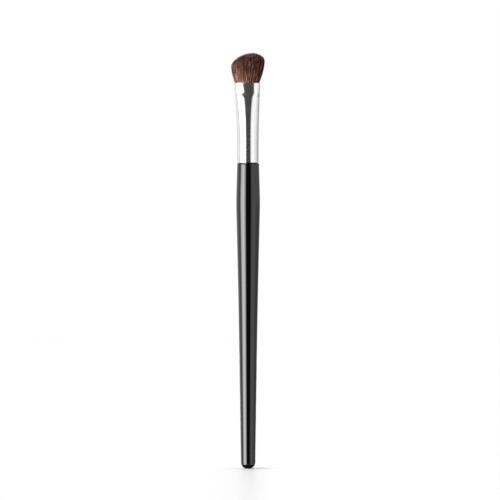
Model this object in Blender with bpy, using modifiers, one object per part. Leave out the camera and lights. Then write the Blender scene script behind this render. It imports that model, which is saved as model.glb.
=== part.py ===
"""Nose contour brush: a turned handle, a drawn ferrule pressed oval at its mouth, and a tuft cut on a slant.

The origin is the middle of the small flat on the handle's tail. +Z runs up the brush to the hair, and +X
points to the side where the hair is long. Lengths are in metres.
"""

import math

import bmesh
import bpy
from mathutils import Vector

MM = 0.001

# Handle: turned wood, its tail a blunt dome with a small flat
TAIL_RADIUS = 3.04 * MM
TAIL_DEPTH = 2.95 * MM
TAIL_SQUARENESS = 2.3
TAIL_FLAT_RADIUS = 0.9 * MM
SHANK_RADIUS = 4.0 * MM
SHANK_HEIGHT = 65.0 * MM
NECK_RADIUS = 4.83 * MM
NECK_TO_BELLY = 8.0 * MM
BELLY_RADIUS = 5.01 * MM
BELLY_TO_SHOULDER = 17.3 * MM
SHOULDER_RADIUS = 4.62 * MM
SHOULDER_HEIGHT = 128.3 * MM
SHOULDER_FILLET = 0.55 * MM
TAIL_TAPER = 0.0155
SHANK_TAPER = 0.0185
NECK_TAPER = 0.0235
SHOULDER_TAPER = -0.012

# Tenon: the reduced end of the handle that the ferrule slides over
TENON_LENGTH = 12.0 * MM
TENON_CHAMFER = 0.5 * MM
GROOVE_COUNT = 3
GROOVE_WIDTH = 1.1 * MM
GROOVE_DEPTH = 0.4 * MM
GROOVE_PITCH = 3.2 * MM

# Ferrule: a drawn tube, pressed oval at the mouth without stretching its girth
FERRULE_RADIUS = 4.51 * MM
FERRULE_WALL = 0.35 * MM
FERRULE_LENGTH = 33.5 * MM
MOUTH_HALF_WIDTH = 5.5 * MM
MOUTH_SHIFT = -0.42 * MM
ROUND_SQUARENESS = 2.0
MOUTH_SQUARENESS = 2.4
ROUND_LENGTH = 7.7 * MM
PRESS_POWER = 1.6
FLAT_LENGTH = 5.4 * MM
FLAT_EASE = 8.0 * MM
RIM_EDGE = 0.12 * MM

# Fits: clearance between neighbours, and the glue line round the tenon
SEAT_GAP = 0.1 * MM
FIT_GAP = 0.1 * MM
GLUE_THICKNESS = 0.25 * MM

# Knot: the bonded roots of the hair and the thread wound round them; resin fills the ferrule behind it
KNOT_RECESS = 5.4 * MM
KNOT_LENGTH = 8.0 * MM
KNOT_COLLAR = 1.2 * MM
KNOT_SLOPE = 0.6 * MM
THREAD_DIAMETER = 0.4 * MM
THREAD_PITCH = 1.15 * MM
PLUG_RIM = 0.5 * MM
PLUG_DISH = 0.8 * MM

# Tuft: half sizes where it is widest, and the shape of its slanted crown
TUFT_HALF_WIDTH = 7.12 * MM
TUFT_HALF_DEPTH = 4.3 * MM
TUFT_HEIGHT = 12.9 * MM
FLARE_HEIGHT = 9.6 * MM
PEAK_SHARE = 0.21
LONG_SIDE_DROP = 4.1 * MM
SHORT_SIDE_DROP = 5.8 * MM
LONG_SIDE_POWER = 2.2
SHORT_SIDE_POWER = 1.75
DEPTH_DROP = 3.4 * MM
DEPTH_POWER = 2.0

# Layers, front to back, and the strands in their rows
LAYER_COUNT = 6
ROWS_PER_LAYER = 3
COLUMN_COUNT = 21
LAYER_GAP = 0.1 * MM
OUTER_ROW_SHARE = 0.95
STRAND_SIDES = 3
STRAND_FILL = 0.84
STRAND_SINK = 0.4 * MM
STRAND_MARGIN = 0.05 * MM
TIP_TAPER = 1.2 * MM
BEND_HEIGHT = 3.4 * MM
BEND_SHARE = 0.96

# Facets
TURNED_STEPS = 32
OVAL_POINTS = 40
KNOT_POINTS = 24
TURN_POINTS = 24
DOME_STEPS = 7
FILLET_STEPS = 3
HANDLE_RINGS = 16
PRESS_RINGS = 10
SHARP_ANGLE = math.radians(32)
WELD_DISTANCE = 0.01 * MM
GIRTH_HALVINGS = 40

BELLY_HEIGHT = SHOULDER_HEIGHT - BELLY_TO_SHOULDER
NECK_HEIGHT = BELLY_HEIGHT - NECK_TO_BELLY
FERRULE_FOOT = SHOULDER_HEIGHT + SEAT_GAP
MOUTH_HEIGHT = FERRULE_FOOT + FERRULE_LENGTH
GLUE_OUTER_RADIUS = FERRULE_RADIUS - FERRULE_WALL - FIT_GAP
GLUE_INNER_RADIUS = GLUE_OUTER_RADIUS - GLUE_THICKNESS
TENON_RADIUS = GLUE_INNER_RADIUS - FIT_GAP
TENON_TOP = SHOULDER_HEIGHT + TENON_LENGTH
KNOT_TOP = MOUTH_HEIGHT - KNOT_RECESS
KNOT_FOOT = KNOT_TOP - KNOT_LENGTH
KNOT_NECK_TOP = KNOT_TOP - KNOT_COLLAR - KNOT_SLOPE
KNOT_INSET = FERRULE_WALL + FIT_GAP
NECK_INSET = KNOT_INSET + THREAD_DIAMETER + 2 * FIT_GAP
PLUG_FOOT = TENON_TOP + FIT_GAP
PLUG_TOP = KNOT_FOOT - FIT_GAP
ROW_COUNT = LAYER_COUNT * ROWS_PER_LAYER
STRAND_SHARE = STRAND_FILL * OUTER_ROW_SHARE / (ROW_COUNT - 1)
OVAL_TURNS = [2 * math.pi * i / OVAL_POINTS for i in range(OVAL_POINTS)]
KNOT_TURNS = [2 * math.pi * i / KNOT_POINTS for i in range(KNOT_POINTS)]


def clear_scene():
    for obj in list(bpy.data.objects):
        bpy.data.objects.remove(obj, do_unlink=True)


def new_collection(name):
    collection = bpy.data.collections.new(name)
    bpy.context.scene.collection.children.link(collection)
    return collection


def principled(name, color, roughness, metallic=0.0):
    material = bpy.data.materials.new(name)
    material.use_nodes = True
    shader = material.node_tree.nodes["Principled BSDF"]
    shader.inputs["Base Color"].default_value = (*color, 1.0)
    shader.inputs["Roughness"].default_value = roughness
    shader.inputs["Metallic"].default_value = metallic
    material.diffuse_color = (*color, 1.0)
    return material


def add_object(name, mesh, collection, material=None):
    obj = bpy.data.objects.new(name, mesh)
    collection.objects.link(obj)
    if material:
        mesh.materials.append(material)
    return obj


def make_cutter(obj):
    obj.hide_render = True
    obj.display_type = "WIRE"


def smooth(mesh):
    mesh.shade_smooth()
    mesh.set_sharp_from_angle(angle=SHARP_ANGLE)


def settle(obj):
    """Turns the object's modifiers, or its curve, into a plain mesh with smooth shading."""
    graph = bpy.context.evaluated_depsgraph_get()
    mesh = bpy.data.meshes.new_from_object(obj.evaluated_get(graph))
    obj.modifiers.clear()
    obj.data = mesh
    smooth(mesh)


def turned(name, profile, collection, material):
    """A solid turned about Z from (radius, height) points that run down its outer side."""
    mesh = bpy.data.meshes.new(name)
    closed = profile[0] == profile[-1]
    points = profile[:-1] if closed else profile
    edges = [(i, i + 1) for i in range(len(points) - 1)]
    if closed:
        edges.append((len(points) - 1, 0))
    mesh.from_pydata([(radius, 0, height) for radius, height in points], edges, [])
    obj = add_object(name, mesh, collection, material)
    screw = obj.modifiers.new("turn", "SCREW")
    screw.axis = "Z"
    screw.steps = TURNED_STEPS
    screw.render_steps = TURNED_STEPS
    screw.use_merge_vertices = True
    screw.merge_threshold = WELD_DISTANCE
    settle(obj)
    return obj


def lofted(name, rings, collection, material=None, capped=True):
    """A solid through rings of points; without caps the last ring joins the first, as on a tube's wall."""
    mesh = bpy.data.meshes.new(name)
    bm = bmesh.new()
    loops = [[bm.verts.new(point) for point in ring] for ring in rings]
    pairs = list(zip(loops, loops[1:]))
    if not capped:
        pairs.append((loops[-1], loops[0]))
    for lower, upper in pairs:
        for i in range(len(lower)):
            j = (i + 1) % len(lower)
            bm.faces.new((lower[i], lower[j], upper[j], upper[i]))
    if capped:
        bm.faces.new(list(reversed(loops[0])))
        bm.faces.new(loops[-1])
    bm.to_mesh(mesh)
    bm.free()
    smooth(mesh)
    return add_object(name, mesh, collection, material)


def ease(share):
    """0 to 1 with level ends."""
    share = min(max(share, 0.0), 1.0)
    return share * share * (3 - 2 * share)


def hermite(stations, height):
    """Radius at a height on the smooth curve through (height, radius, slope) stations."""
    for (z0, r0, m0), (z1, r1, m1) in zip(stations, stations[1:]):
        if height <= z1:
            break
    span = z1 - z0
    t = (height - z0) / span
    return (
        r0 * (1 + 2 * t) * (1 - t) ** 2
        + r1 * t * t * (3 - 2 * t)
        + span * m0 * t * (1 - t) ** 2
        + span * m1 * t * t * (t - 1)
    )


def oval_point(half_width, half_depth, squareness, turn):
    cosine = math.cos(turn)
    sine = math.sin(turn)
    x = math.copysign(abs(cosine) ** (2 / squareness), cosine)
    y = math.copysign(abs(sine) ** (2 / squareness), sine)
    return half_width * x, half_depth * y


def girth(half_width, half_depth, squareness):
    points = [oval_point(half_width, half_depth, squareness, turn) for turn in OVAL_TURNS]
    return sum(math.dist(a, b) for a, b in zip(points, points[1:] + points[:1]))


def pressed_half_depth(half_width, squareness):
    """Half depth that keeps the drawn tube's girth when its half width is pressed out."""
    target = girth(FERRULE_RADIUS, FERRULE_RADIUS, ROUND_SQUARENESS)
    low = 0.0
    high = half_width
    for _ in range(GIRTH_HALVINGS):
        middle = (low + high) / 2
        if girth(half_width, middle, squareness) < target:
            low = middle
        else:
            high = middle
    return middle


def section(height):
    """The ferrule's outer section at a height: centre, half width, half depth and squareness."""
    oval_length = FERRULE_LENGTH - ROUND_LENGTH
    share = min(max((height - FERRULE_FOOT - ROUND_LENGTH) / oval_length, 0.0), 1.0)
    pressed = share**PRESS_POWER
    flat = ease((height - (MOUTH_HEIGHT - FLAT_LENGTH - FLAT_EASE)) / FLAT_EASE)
    squareness = ROUND_SQUARENESS + (MOUTH_SQUARENESS - ROUND_SQUARENESS) * flat
    half_width = FERRULE_RADIUS + (MOUTH_HALF_WIDTH - FERRULE_RADIUS) * pressed
    half_depth = pressed_half_depth(half_width, squareness)
    return MOUTH_SHIFT * pressed, half_width, half_depth, squareness


def section_ring(height, inset, turns=OVAL_TURNS):
    """Points round the ferrule's section at a height, drawn in by inset from its outer surface."""
    centre, half_width, half_depth, squareness = section(height)
    ring = []
    for turn in turns:
        x, y = oval_point(half_width - inset, half_depth - inset, squareness, turn)
        ring.append((centre + x, y, height))
    return ring


def spaced(low, high, count):
    return [low + (high - low) * i / (count - 1) for i in range(count)]


def tail_dome():
    """(radius, height) points from the tail's widest ring down to the edge of its flat."""
    flat_turn = math.acos((TAIL_FLAT_RADIUS / TAIL_RADIUS) ** (TAIL_SQUARENESS / 2))
    foot = oval_point(TAIL_RADIUS, TAIL_DEPTH, TAIL_SQUARENESS, flat_turn)[1]
    points = []
    for turn in spaced(0, flat_turn, DOME_STEPS + 1):
        radius, drop = oval_point(TAIL_RADIUS, TAIL_DEPTH, TAIL_SQUARENESS, turn)
        points.append((radius, foot - drop))
    return points


def handle_stations():
    return [
        (tail_dome()[0][1], TAIL_RADIUS, TAIL_TAPER),
        (SHANK_HEIGHT, SHANK_RADIUS, SHANK_TAPER),
        (NECK_HEIGHT, NECK_RADIUS, NECK_TAPER),
        (BELLY_HEIGHT, BELLY_RADIUS, 0.0),
        (SHOULDER_HEIGHT - SHOULDER_FILLET, SHOULDER_RADIUS, SHOULDER_TAPER),
    ]


def groove_heights():
    """Middle heights of the glue grooves, centred on the tenon."""
    middle = (SHOULDER_HEIGHT + TENON_TOP) / 2
    first = middle - GROOVE_PITCH * (GROOVE_COUNT - 1) / 2
    return [first + GROOVE_PITCH * i for i in range(GROOVE_COUNT)]


def tenon_profile():
    """The tenon's outer side from its top down to the shoulder."""
    profile = [(0, TENON_TOP), (TENON_RADIUS - TENON_CHAMFER, TENON_TOP)]
    profile.append((TENON_RADIUS, TENON_TOP - TENON_CHAMFER))
    for height in reversed(groove_heights()):
        top = height + GROOVE_WIDTH / 2
        foot = height - GROOVE_WIDTH / 2
        floor = TENON_RADIUS - GROOVE_DEPTH
        profile += [(TENON_RADIUS, top), (floor, top), (floor, foot), (TENON_RADIUS, foot)]
    profile.append((TENON_RADIUS, SHOULDER_HEIGHT))
    return profile


def make_handle(collection, material):
    stations = handle_stations()
    profile = tenon_profile()
    fillet_top = SHOULDER_RADIUS - SHOULDER_FILLET
    for turn in spaced(math.pi / 2, 0, FILLET_STEPS + 1):
        radius = fillet_top + SHOULDER_FILLET * math.cos(turn)
        profile.append((radius, SHOULDER_HEIGHT - SHOULDER_FILLET * (1 - math.sin(turn))))
    heights = spaced(SHOULDER_HEIGHT - SHOULDER_FILLET, stations[0][0], HANDLE_RINGS)
    heights = sorted({*heights, BELLY_HEIGHT, NECK_HEIGHT}, reverse=True)
    profile += [(hermite(stations, height), height) for height in heights[1:]]
    profile += tail_dome()[1:]
    profile.append((0, 0))
    return turned("handle", profile, collection, material)


def make_tenon_adhesive(collection, material):
    """The glue sleeve round the tenon, with a rib in each groove."""
    top = TENON_TOP - TENON_CHAMFER
    foot = FERRULE_FOOT + FIT_GAP
    profile = [(GLUE_INNER_RADIUS, top), (GLUE_OUTER_RADIUS, top), (GLUE_OUTER_RADIUS, foot)]
    profile.append((GLUE_INNER_RADIUS, foot))
    rib_radius = TENON_RADIUS - GROOVE_DEPTH + FIT_GAP
    for height in groove_heights():
        half = GROOVE_WIDTH / 2 - FIT_GAP
        profile.append((GLUE_INNER_RADIUS, height - half))
        profile.append((rib_radius, height - half))
        profile.append((rib_radius, height + half))
        profile.append((GLUE_INNER_RADIUS, height + half))
    profile.append(profile[0])
    return turned("tenon_adhesive", profile, collection, material)


def make_ferrule(collection, material):
    """The tube: up its outer side, over the rim and down its bore."""
    oval_foot = FERRULE_FOOT + ROUND_LENGTH
    heights = [FERRULE_FOOT] + spaced(oval_foot, MOUTH_HEIGHT - RIM_EDGE, PRESS_RINGS)
    rings = [section_ring(height, 0) for height in heights]
    rings.append(section_ring(MOUTH_HEIGHT, RIM_EDGE))
    rings.append(section_ring(MOUTH_HEIGHT, FERRULE_WALL - RIM_EDGE))
    rings += [section_ring(height, FERRULE_WALL) for height in reversed(heights)]
    return lofted("ferrule", rings, collection, material, capped=False)


def make_resin_plug(collection, material):
    """Resin set behind the hair, its lower face dished where it climbed the ferrule's wall."""
    rings = [section_ring(PLUG_FOOT + PLUG_DISH, KNOT_INSET + 2 * PLUG_RIM)]
    rings.append(section_ring(PLUG_FOOT, KNOT_INSET + PLUG_RIM))
    rings += [section_ring(height, KNOT_INSET) for height in spaced(PLUG_FOOT, PLUG_TOP, 4)]
    return lofted("resin_plug", rings, collection, material)


def make_binding_thread(collection, material):
    """Thread wound round the neck of the knot, as one helix that follows its oval."""
    room = KNOT_NECK_TOP - KNOT_FOOT - THREAD_DIAMETER - 2 * FIT_GAP
    turns = int(room / THREAD_PITCH)
    foot = (KNOT_FOOT + KNOT_NECK_TOP - THREAD_PITCH * turns) / 2
    inset = NECK_INSET - FIT_GAP - THREAD_DIAMETER / 2
    path = []
    for step in range(turns * TURN_POINTS + 1):
        height = foot + THREAD_PITCH * step / TURN_POINTS
        centre, half_width, half_depth, squareness = section(height)
        turn = 2 * math.pi * step / TURN_POINTS
        x, y = oval_point(half_width - inset, half_depth - inset, squareness, turn)
        path.append(Vector((centre + x, y, height)))
    curve = bpy.data.curves.new("binding_thread", "CURVE")
    curve.dimensions = "3D"
    curve.bevel_depth = THREAD_DIAMETER / 2
    curve.bevel_resolution = 1
    curve.use_fill_caps = True
    curve.materials.append(material)
    spline = curve.splines.new("POLY")
    spline.points.add(len(path) - 1)
    for point, place in zip(spline.points, path):
        point.co = (*place, 1.0)
    print_least_gap(path)
    obj = bpy.data.objects.new("binding_thread", curve)
    collection.objects.link(obj)
    return obj


def print_least_gap(path):
    """Prints the least gap between one turn of the thread and the others."""
    half_turn = TURN_POINTS // 2
    least = min(
        (path[i] - path[j]).length
        for i in range(len(path))
        for j in range(i + half_turn, len(path))
    )
    gap = (least - THREAD_DIAMETER) / MM
    print(f"binding_thread: least gap between its turns {gap:.2f} mm")


def make_knot_guide(collection):
    """The whole bonded knot, from which each layer's slice is cut."""
    rings = [section_ring(height, NECK_INSET, KNOT_TURNS) for height in (KNOT_FOOT, KNOT_NECK_TOP)]
    rings.append(section_ring(KNOT_TOP - KNOT_COLLAR, KNOT_INSET, KNOT_TURNS))
    rings.append(section_ring(KNOT_TOP, KNOT_INSET, KNOT_TURNS))
    guide = lofted("knot_guide", rings, collection)
    make_cutter(guide)
    return guide


def strand_field(half_width, half_depth):
    """Half sizes of the oval that the strands' axes fill, so that their sides stay inside the one given."""
    depth = half_depth / (1 + STRAND_SHARE)
    return half_width - STRAND_SHARE * depth, depth


def root_field():
    """Centre, half sizes and squareness of the oval of roots on the knot's top."""
    centre, half_width, half_depth, squareness = section(KNOT_TOP)
    inset = KNOT_INSET + STRAND_MARGIN
    return centre, *strand_field(half_width - inset, half_depth - inset), squareness


def mouth_field():
    """Half sizes of the oval of strands where they leave the mouth."""
    _, half_width, half_depth, _ = section(MOUTH_HEIGHT)
    return strand_field(half_width - KNOT_INSET, half_depth - KNOT_INSET)


def hair_field(height):
    """Centre and half sizes of the oval of strands at a height: it flares from the mouth to its widest."""
    root_centre, root_width, root_depth, _ = root_field()
    mouth_width, mouth_depth = mouth_field()
    if height < MOUTH_HEIGHT:
        share = max((height - KNOT_TOP) / KNOT_RECESS, 0.0)
        low = (root_centre, root_width, root_depth)
        high = (MOUTH_SHIFT, mouth_width, mouth_depth)
        return [a + (b - a) * share for a, b in zip(low, high)]
    share = min((height - MOUTH_HEIGHT) / FLARE_HEIGHT, 1.0)
    spread = 1 - (1 - share) ** 2
    top_width, top_depth = strand_field(TUFT_HALF_WIDTH, TUFT_HALF_DEPTH)
    half_width = mouth_width + (top_width - mouth_width) * spread
    half_depth = mouth_depth + (top_depth - mouth_depth) * spread
    return MOUTH_SHIFT * (1 - share * share), half_width, half_depth


def dome_drop(share, power):
    """How far a dome of unit height has dropped at a share of its half width."""
    return 1 - (1 - min(share, 1.0) ** power) ** (1 / power)


def crown_height(u, v):
    """Height of the tip of the strand at shares (u, v): a dome whose peak lies towards the long side."""
    across = u - PEAK_SHARE
    if across > 0:
        drop = LONG_SIDE_DROP * dome_drop(across / (1 - PEAK_SHARE), LONG_SIDE_POWER)
    else:
        drop = SHORT_SIDE_DROP * dome_drop(-across / (1 + PEAK_SHARE), SHORT_SIDE_POWER)
    drop += DEPTH_DROP * dome_drop(abs(v), DEPTH_POWER)
    return MOUTH_HEIGHT + TUFT_HEIGHT - drop


def ring_heights(u, v):
    """Heights of the strand's rings, from its sunk root to where its tip starts to taper."""
    shoulder = crown_height(u, v) - TIP_TAPER
    heights = [KNOT_TOP - STRAND_SINK, MOUTH_HEIGHT]
    bend = MOUTH_HEIGHT + BEND_HEIGHT
    if math.hypot(u, v) > BEND_SHARE and shoulder > bend:
        heights.append(bend)
    return heights + [shoulder]


def add_strand(bm, u, v):
    """One closed strand of few flat sides, one edge facing out, from inside the knot to the crown."""
    outward = math.atan2(v * TUFT_HALF_DEPTH, u * TUFT_HALF_WIDTH)
    loops = []
    for height in ring_heights(u, v):
        centre, half_width, half_depth = hair_field(height)
        radius = STRAND_SHARE * half_depth
        loop = []
        for i in range(STRAND_SIDES):
            turn = outward + 2 * math.pi * i / STRAND_SIDES
            x = centre + u * half_width + radius * math.cos(turn)
            y = v * half_depth + radius * math.sin(turn)
            loop.append(bm.verts.new((x, y, height)))
        loops.append(loop)
    bm.faces.new(list(reversed(loops[0])))
    for lower, upper in zip(loops, loops[1:]):
        for i in range(STRAND_SIDES):
            j = (i + 1) % STRAND_SIDES
            bm.faces.new((lower[i], lower[j], upper[j], upper[i]))
    height = crown_height(u, v)
    centre, half_width, half_depth = hair_field(height)
    tip = bm.verts.new((centre + u * half_width, v * half_depth, height))
    for i in range(STRAND_SIDES):
        bm.faces.new((loops[-1][i], loops[-1][(i + 1) % STRAND_SIDES], tip))


def row_shares(row):
    """Depth share of a row, and the width shares of its strands; odd rows sit between the even ones."""
    squareness = root_field()[-1]
    v = OUTER_ROW_SHARE * (2 * row / (ROW_COUNT - 1) - 1)
    edge = (1 - abs(v) ** squareness) ** (1 / squareness)
    count = max(2, round(edge * (COLUMN_COUNT - 1)) + 1)
    places = spaced(-edge, edge, count)
    if row % 2:
        places = [(a + b) / 2 for a, b in zip(places, places[1:])]
    return v, places


def make_strands(layer, collection):
    bm = bmesh.new()
    count = 0
    for row in range(layer * ROWS_PER_LAYER, (layer + 1) * ROWS_PER_LAYER):
        v, places = row_shares(row)
        for u in places:
            add_strand(bm, u, v)
        count += len(places)
    mesh = bpy.data.meshes.new(f"strands_{layer + 1}")
    bm.to_mesh(mesh)
    bm.free()
    strands = add_object(mesh.name, mesh, collection)
    make_cutter(strands)
    return strands, count


def layer_bounds(layer):
    """Low and high Y of a layer's slice of the knot; the end slices run on past the knot."""
    half_depth = root_field()[2]
    width = 2 * OUTER_ROW_SHARE * half_depth / (ROW_COUNT - 1) * ROWS_PER_LAYER
    low = width * (layer - LAYER_COUNT / 2)
    high = low + width
    overrun = FERRULE_RADIUS
    low = low - overrun if layer == 0 else low + LAYER_GAP / 2
    high = high + overrun if layer == LAYER_COUNT - 1 else high - LAYER_GAP / 2
    return low, high


def make_slab(layer, collection):
    """The block that keeps one layer's slice of the knot."""
    low, high = layer_bounds(layer)
    width = 4 * MOUTH_HALF_WIDTH
    bm = bmesh.new()
    bmesh.ops.create_cube(bm, size=1.0)
    bmesh.ops.scale(bm, vec=(width, high - low, 2 * KNOT_LENGTH), verts=bm.verts)
    bmesh.ops.translate(bm, vec=(0, (low + high) / 2, (KNOT_TOP + KNOT_FOOT) / 2), verts=bm.verts)
    mesh = bpy.data.meshes.new(f"slab_{layer + 1}")
    bm.to_mesh(mesh)
    bm.free()
    slab = add_object(mesh.name, mesh, collection)
    make_cutter(slab)
    return slab


def make_hair_layer(layer, knot, collection, cutters, material):
    """One layer of the tuft: its slice of the knot with its strands fused to the top."""
    layer_object = add_object(f"hair_layer_{layer + 1}", knot.data.copy(), collection, material)
    strands, count = make_strands(layer, cutters)
    for name, operation, other in (
        ("slice", "INTERSECT", make_slab(layer, cutters)),
        ("fuse", "UNION", strands),
    ):
        boolean = layer_object.modifiers.new(name, "BOOLEAN")
        boolean.operation = operation
        boolean.object = other
        boolean.solver = "EXACT"
    return count


def make_brush():
    clear_scene()
    parts = new_collection("nose_contour_brush")
    cutters = new_collection("cutters")
    lacquer = principled("black_lacquer", (0.006, 0.006, 0.006), 0.08)
    chrome = principled("polished_metal", (0.86, 0.86, 0.87), 0.06, 1.0)
    glue = principled("tenon_glue", (0.72, 0.62, 0.4), 0.45)
    resin = principled("clear_resin", (0.78, 0.66, 0.42), 0.25)
    thread = principled("thread", (0.75, 0.7, 0.62), 0.8)
    hair = principled("brown_hair", (0.108, 0.045, 0.034), 0.55)
    make_handle(parts, lacquer)
    make_tenon_adhesive(parts, glue)
    make_ferrule(parts, chrome)
    make_resin_plug(parts, resin)
    make_binding_thread(parts, thread)
    knot = make_knot_guide(cutters)
    total = 0
    for layer in range(LAYER_COUNT):
        total += make_hair_layer(layer, knot, parts, cutters, hair)
    print(f"tuft: {total} strands in {LAYER_COUNT} layers")


make_brush()
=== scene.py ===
"""Looks of the nose contour brush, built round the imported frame.

The brush stands on its tail at the origin with its hair up, and the camera looks level along +Y.
The side where the hair is long is +X. Lengths are in metres.
"""

import math

import bpy
import numpy as np
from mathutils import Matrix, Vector


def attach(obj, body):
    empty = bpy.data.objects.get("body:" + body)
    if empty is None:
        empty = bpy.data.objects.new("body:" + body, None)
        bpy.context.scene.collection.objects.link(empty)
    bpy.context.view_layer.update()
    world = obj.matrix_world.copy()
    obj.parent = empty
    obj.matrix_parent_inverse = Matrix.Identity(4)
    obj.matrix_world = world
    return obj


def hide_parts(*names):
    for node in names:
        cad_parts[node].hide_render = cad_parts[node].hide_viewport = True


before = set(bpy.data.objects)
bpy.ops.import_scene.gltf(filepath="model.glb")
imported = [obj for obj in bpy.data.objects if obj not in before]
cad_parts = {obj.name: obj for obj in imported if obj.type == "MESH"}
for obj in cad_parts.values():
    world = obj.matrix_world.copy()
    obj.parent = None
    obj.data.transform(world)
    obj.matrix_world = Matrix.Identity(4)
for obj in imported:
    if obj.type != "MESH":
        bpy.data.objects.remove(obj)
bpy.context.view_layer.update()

MM = 0.001

# Handle
TAIL_RADIUS = 3.04 * MM
TAIL_DEPTH = 2.95 * MM
TAIL_SQUARENESS = 2.3
TAIL_FLAT_RADIUS = 0.9 * MM
TAIL_RINGS = 33
SHANK_RADIUS = 4.0 * MM
SHANK_HEIGHT = 65.0 * MM
NECK_RADIUS = 4.83 * MM
NECK_TO_BELLY = 8.0 * MM
BELLY_RADIUS = 5.01 * MM
BELLY_TO_SHOULDER = 17.3 * MM
SHOULDER_RADIUS = 4.62 * MM
SHOULDER_HEIGHT = 128.3 * MM
SHOULDER_FILLET = 0.55 * MM
FILLET_RINGS = 10
TAIL_TAPER = 0.0155
SHANK_TAPER = 0.0185
NECK_TAPER = 0.0235
SHOULDER_TAPER = -0.012
TENON_LENGTH = 12.0 * MM
TENON_CHAMFER = 0.5 * MM
GROOVE_COUNT = 3
GROOVE_WIDTH = 1.1 * MM
GROOVE_DEPTH = 0.4 * MM
GROOVE_PITCH = 3.2 * MM
GROOVE_ROUND = 0.08 * MM

# Ferrule
FERRULE_RADIUS = 4.51 * MM
FERRULE_WALL = 0.35 * MM
FERRULE_LENGTH = 33.5 * MM
MOUTH_HALF_WIDTH = 5.5 * MM
MOUTH_SHIFT = -0.35 * MM
FERRULE_SHIFT = -0.07 * MM
ROUND_SQUARENESS = 2.0
MOUTH_SQUARENESS = 2.42
ROUND_LENGTH = 7.7 * MM
PRESS_POWER = 1.6
FLAT_LENGTH = 5.4 * MM
FLAT_EASE = 8.0 * MM
CREASE_DEPTH = 5.0 * MM
CREASE_EASE = 1.9 * MM
CREASE_SHARE = 0.75
CREASE_TWIST = math.radians(-3.8)
MOUTH_TWIST = math.radians(-4.0)
MOUTH_RELAX = 0.3
DENT_PLACE = (-1.2 * MM, 157.0 * MM)
DENT_DEPTH = 0.13 * MM
DENT_SIDES = (0.95 * MM, 2.2 * MM)
DENT_ENDS = (1.2 * MM, 0.5 * MM)
DENT_LEAN = 0.3
RIM_ROLL = 0.12 * MM
RIM_RINGS = 5
FOOT_BEVEL = 0.05 * MM
FOOT_RINGS = (FOOT_BEVEL, 0.5 * MM, 3 * MM)
BORE_STEP = 4
GIRTH_POINTS = 40
HALVINGS = 40

# Fits
SEAT_GAP = 0.1 * MM
FIT_GAP = 0.1 * MM
GLUE_THICKNESS = 0.25 * MM

# Knot and the thread round it
KNOT_RECESS = 5.4 * MM
KNOT_LENGTH = 8.0 * MM
KNOT_COLLAR = 1.2 * MM
KNOT_SLOPE = 0.6 * MM
KNOT_SEGMENTS = 96
KNOT_FOOT_BEVEL = 0.25 * MM
KNOT_TOP_BEVEL = 0.1 * MM
THREAD_DIAMETER = 0.4 * MM
THREAD_PITCH = 1.15 * MM
PLY_COUNT = 3
PLY_SHARE = 0.46
PLY_TWISTS = 9
PLY_SIDES = 6
THREAD_STEPS = 60

# Tuft
TUFT_HALF_WIDTH = 7.12 * MM
TUFT_HALF_DEPTH = 4.3 * MM
TUFT_HEIGHT = 12.9 * MM
FLARE_HEIGHT = 9.6 * MM
PEAK_SHARE = 0.21
LONG_SIDE_DROP = 4.1 * MM
SHORT_SIDE_DROP = 5.8 * MM
LONG_SIDE_POWER = 2.2
SHORT_SIDE_POWER = 1.75
DEPTH_DROP = 3.4 * MM
DEPTH_POWER = 2.0

# Hairs
HAIR_SEED = 23
HAIR_COUNT = 7200
HAIR_RADIUS = 0.052 * MM
HAIR_SIDES = 3
HAIR_SINK = 0.4 * MM
HAIR_JITTER = 0.006
EDGE_RADIUS = 0.995
CORE_RADIUS = 0.1
HAIR_LEAN = 0.018
LEAN_POWER = 1.6
THICKNESS_RANGE = (0.75, 1.2)
TAPER = (0.75, 0.62, 1.3)  # share lost at the tip, where it starts, and its power
TRIM_SPREAD = 0.2 * MM
STRAY_SHARE = 0.1
STRAY_LEAN = 0.1
INNER_SHARE = 0.8
OUTER_RINGS = (0.0, 0.14, 0.3, 0.47, 0.64, 0.82, 0.93)
INNER_RINGS = (0.0, 0.35, 0.68, 0.88)

# Gathering of the hairs in wisps, and of the wisps in locks
LOCKS = {"count": 80, "pull": 0.16, "jitter": 0.03, "wave": 0.015, "contrast": 0.07}
WISPS = {"count": 760, "pull": 0.7, "jitter": 0.015, "wave": 0.04, "contrast": 0.7}
LOCK_LIFT = 0.07 * MM
PULL_RANGE = (0.5, 1.3)
PULL_POWER = 1.2
WAVE_RATES = (3.5, 8.0)
# Waves of tone along each wisp and lock are painted sheen, where wavy hair would catch the light.
SHEEN_RIPPLE_RANGE = (0.4, 1.3)
SHEEN_RIPPLE_RATE = 3.4
DARKEST_SHEEN_RIPPLE = 0.06
DEPTH_WEIGHT = 0.62

# Colour of the hairs. u runs across the tuft, from -1 on the short side to 1 on the long side, and
# share runs up a hair's free length from 0 to 1. A value named hump is (strength, middle, width), any
# other with three numbers is (strength, start, end), and a span is (start, end). Colours are in RGB.
HAIR_COLOUR = (0.3, 0.122, 0.09)
PALE_COLOUR = (0.56, 0.31, 0.24)
TONE_POWERS = (0.92, 1.06, 1.14)
WARMTH_SHIFTS = (0.0, 1.0, 1.4)
TONE_LIMITS = (-1.6, 1.3)
HAIR_CONTRAST = 0.5
STRAY_LIGHTNESS = 0.5
BRIGHTEST_HAIR = 3.0
FOOT_REACH = 0.45
# The hair's tone across the tuft is mostly painted light: its fall towards the long side is painted shade,
# and the hump over the middle of the body is a painted highlight.
BODY_TONE = (0.435, -0.144)  # at the middle, and its change for a step of 1 in u
BODY_PAINTED_HIGHLIGHT_HUMP = (0.34, -0.05, 0.3)
FOOT_TONE = (0.6, 0.03)
# Painted highlight over the middle of the foot.
FOOT_PAINTED_HIGHLIGHT_HUMP = (0.21, 0.0, 0.3)
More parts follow.
